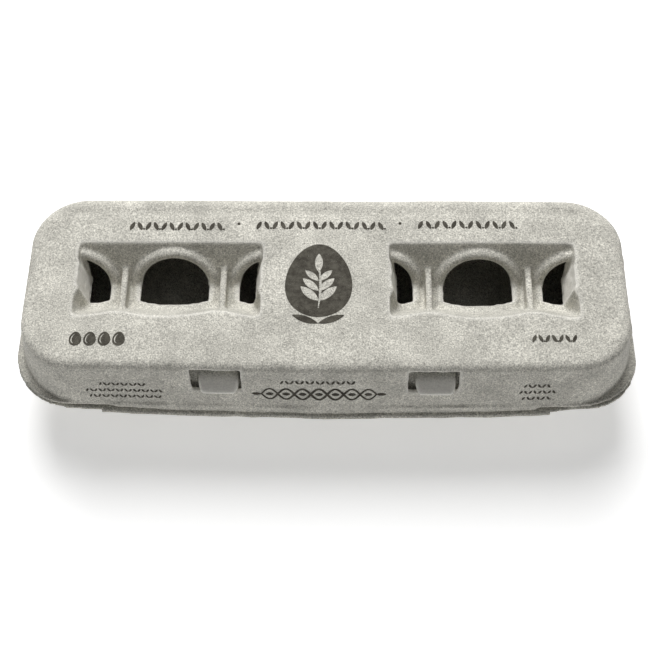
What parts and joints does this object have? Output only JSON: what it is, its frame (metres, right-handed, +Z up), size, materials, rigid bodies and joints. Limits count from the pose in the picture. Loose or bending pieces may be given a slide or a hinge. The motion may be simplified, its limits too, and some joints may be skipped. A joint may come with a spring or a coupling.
{
  "type": "egg carton",
  "caption": "Moulded pulp egg carton, with a hinged lid that has sunken view windows, egg cups on centre posts, and a folding latch flap with push buttons.",
  "frame": {"origin": "centre of the closed carton's footprint, on the plane that the cups stand on", "axes": "+X along the carton to the right, +Y from the latch buttons at the front to the hinge fold at the rear, +Z up"},
  "size_m": [0.298, 0.1084, 0.07],
  "materials": {
    "moulded_pulp": "rough"
  },
  "bodies": {
    "tray": {"centre_post_1": "moulded_pulp", "centre_post_2": "moulded_pulp", "centre_post_3": "moulded_pulp", "centre_post_4": "moulded_pulp", "centre_post_5": "moulded_pulp", "egg_cell_front_1": "moulded_pulp", "egg_cell_front_2": "moulded_pulp", "egg_cell_front_3": "moulded_pulp", "egg_cell_front_4": "moulded_pulp", "egg_cell_front_5": "moulded_pulp", "egg_cell_front_6": "moulded_pulp", "egg_cell_rear_1": "moulded_pulp", "egg_cell_rear_2": "moulded_pulp", "egg_cell_rear_3": "moulded_pulp", "egg_cell_rear_4": "moulded_pulp", "egg_cell_rear_5": "moulded_pulp", "egg_cell_rear_6": "moulded_pulp", "front_hinge_fold": "moulded_pulp", "rear_hinge_fold": "moulded_pulp", "tray_rim": "moulded_pulp"},
    "lid": {"lid_front_wall": "moulded_pulp", "lid_left_wall": "moulded_pulp", "lid_rear_wall": "moulded_pulp", "lid_right_wall": "moulded_pulp", "lid_rim": "moulded_pulp", "lid_top_panel": "moulded_pulp", "window_lip_left_centre": "moulded_pulp", "window_lip_left_inner": "moulded_pulp", "window_lip_left_outer": "moulded_pulp", "window_lip_right_centre": "moulded_pulp", "window_lip_right_inner": "moulded_pulp", "window_lip_right_outer": "moulded_pulp", "window_rib_left_inner": "moulded_pulp", "window_rib_left_outer": "moulded_pulp", "window_rib_right_inner": "moulded_pulp", "window_rib_right_outer": "moulded_pulp", "window_well_left": "moulded_pulp", "window_well_right": "moulded_pulp"},
    "latch_flap": {"latch_button_left": "moulded_pulp", "latch_button_right": "moulded_pulp", "latch_flap": "moulded_pulp"}
  },
  "joints": [
    {"name": "lid_hinge", "type": "hinge", "parent": "tray", "child": "lid", "pos_m": [0, 0.053, 0.03715], "axis": [-1, 0, 0], "range_deg": [0, 180], "deforming": ["latch_button_left", "latch_button_right"]},
    {"name": "flap_fold", "type": "hinge", "parent": "tray", "child": "latch_flap", "pos_m": [0, -0.0494, 0.03715], "axis": [-1, 0, 0], "range_deg": [0, 20], "stiffness_Nm_per_rad": 0.05}
  ]
}
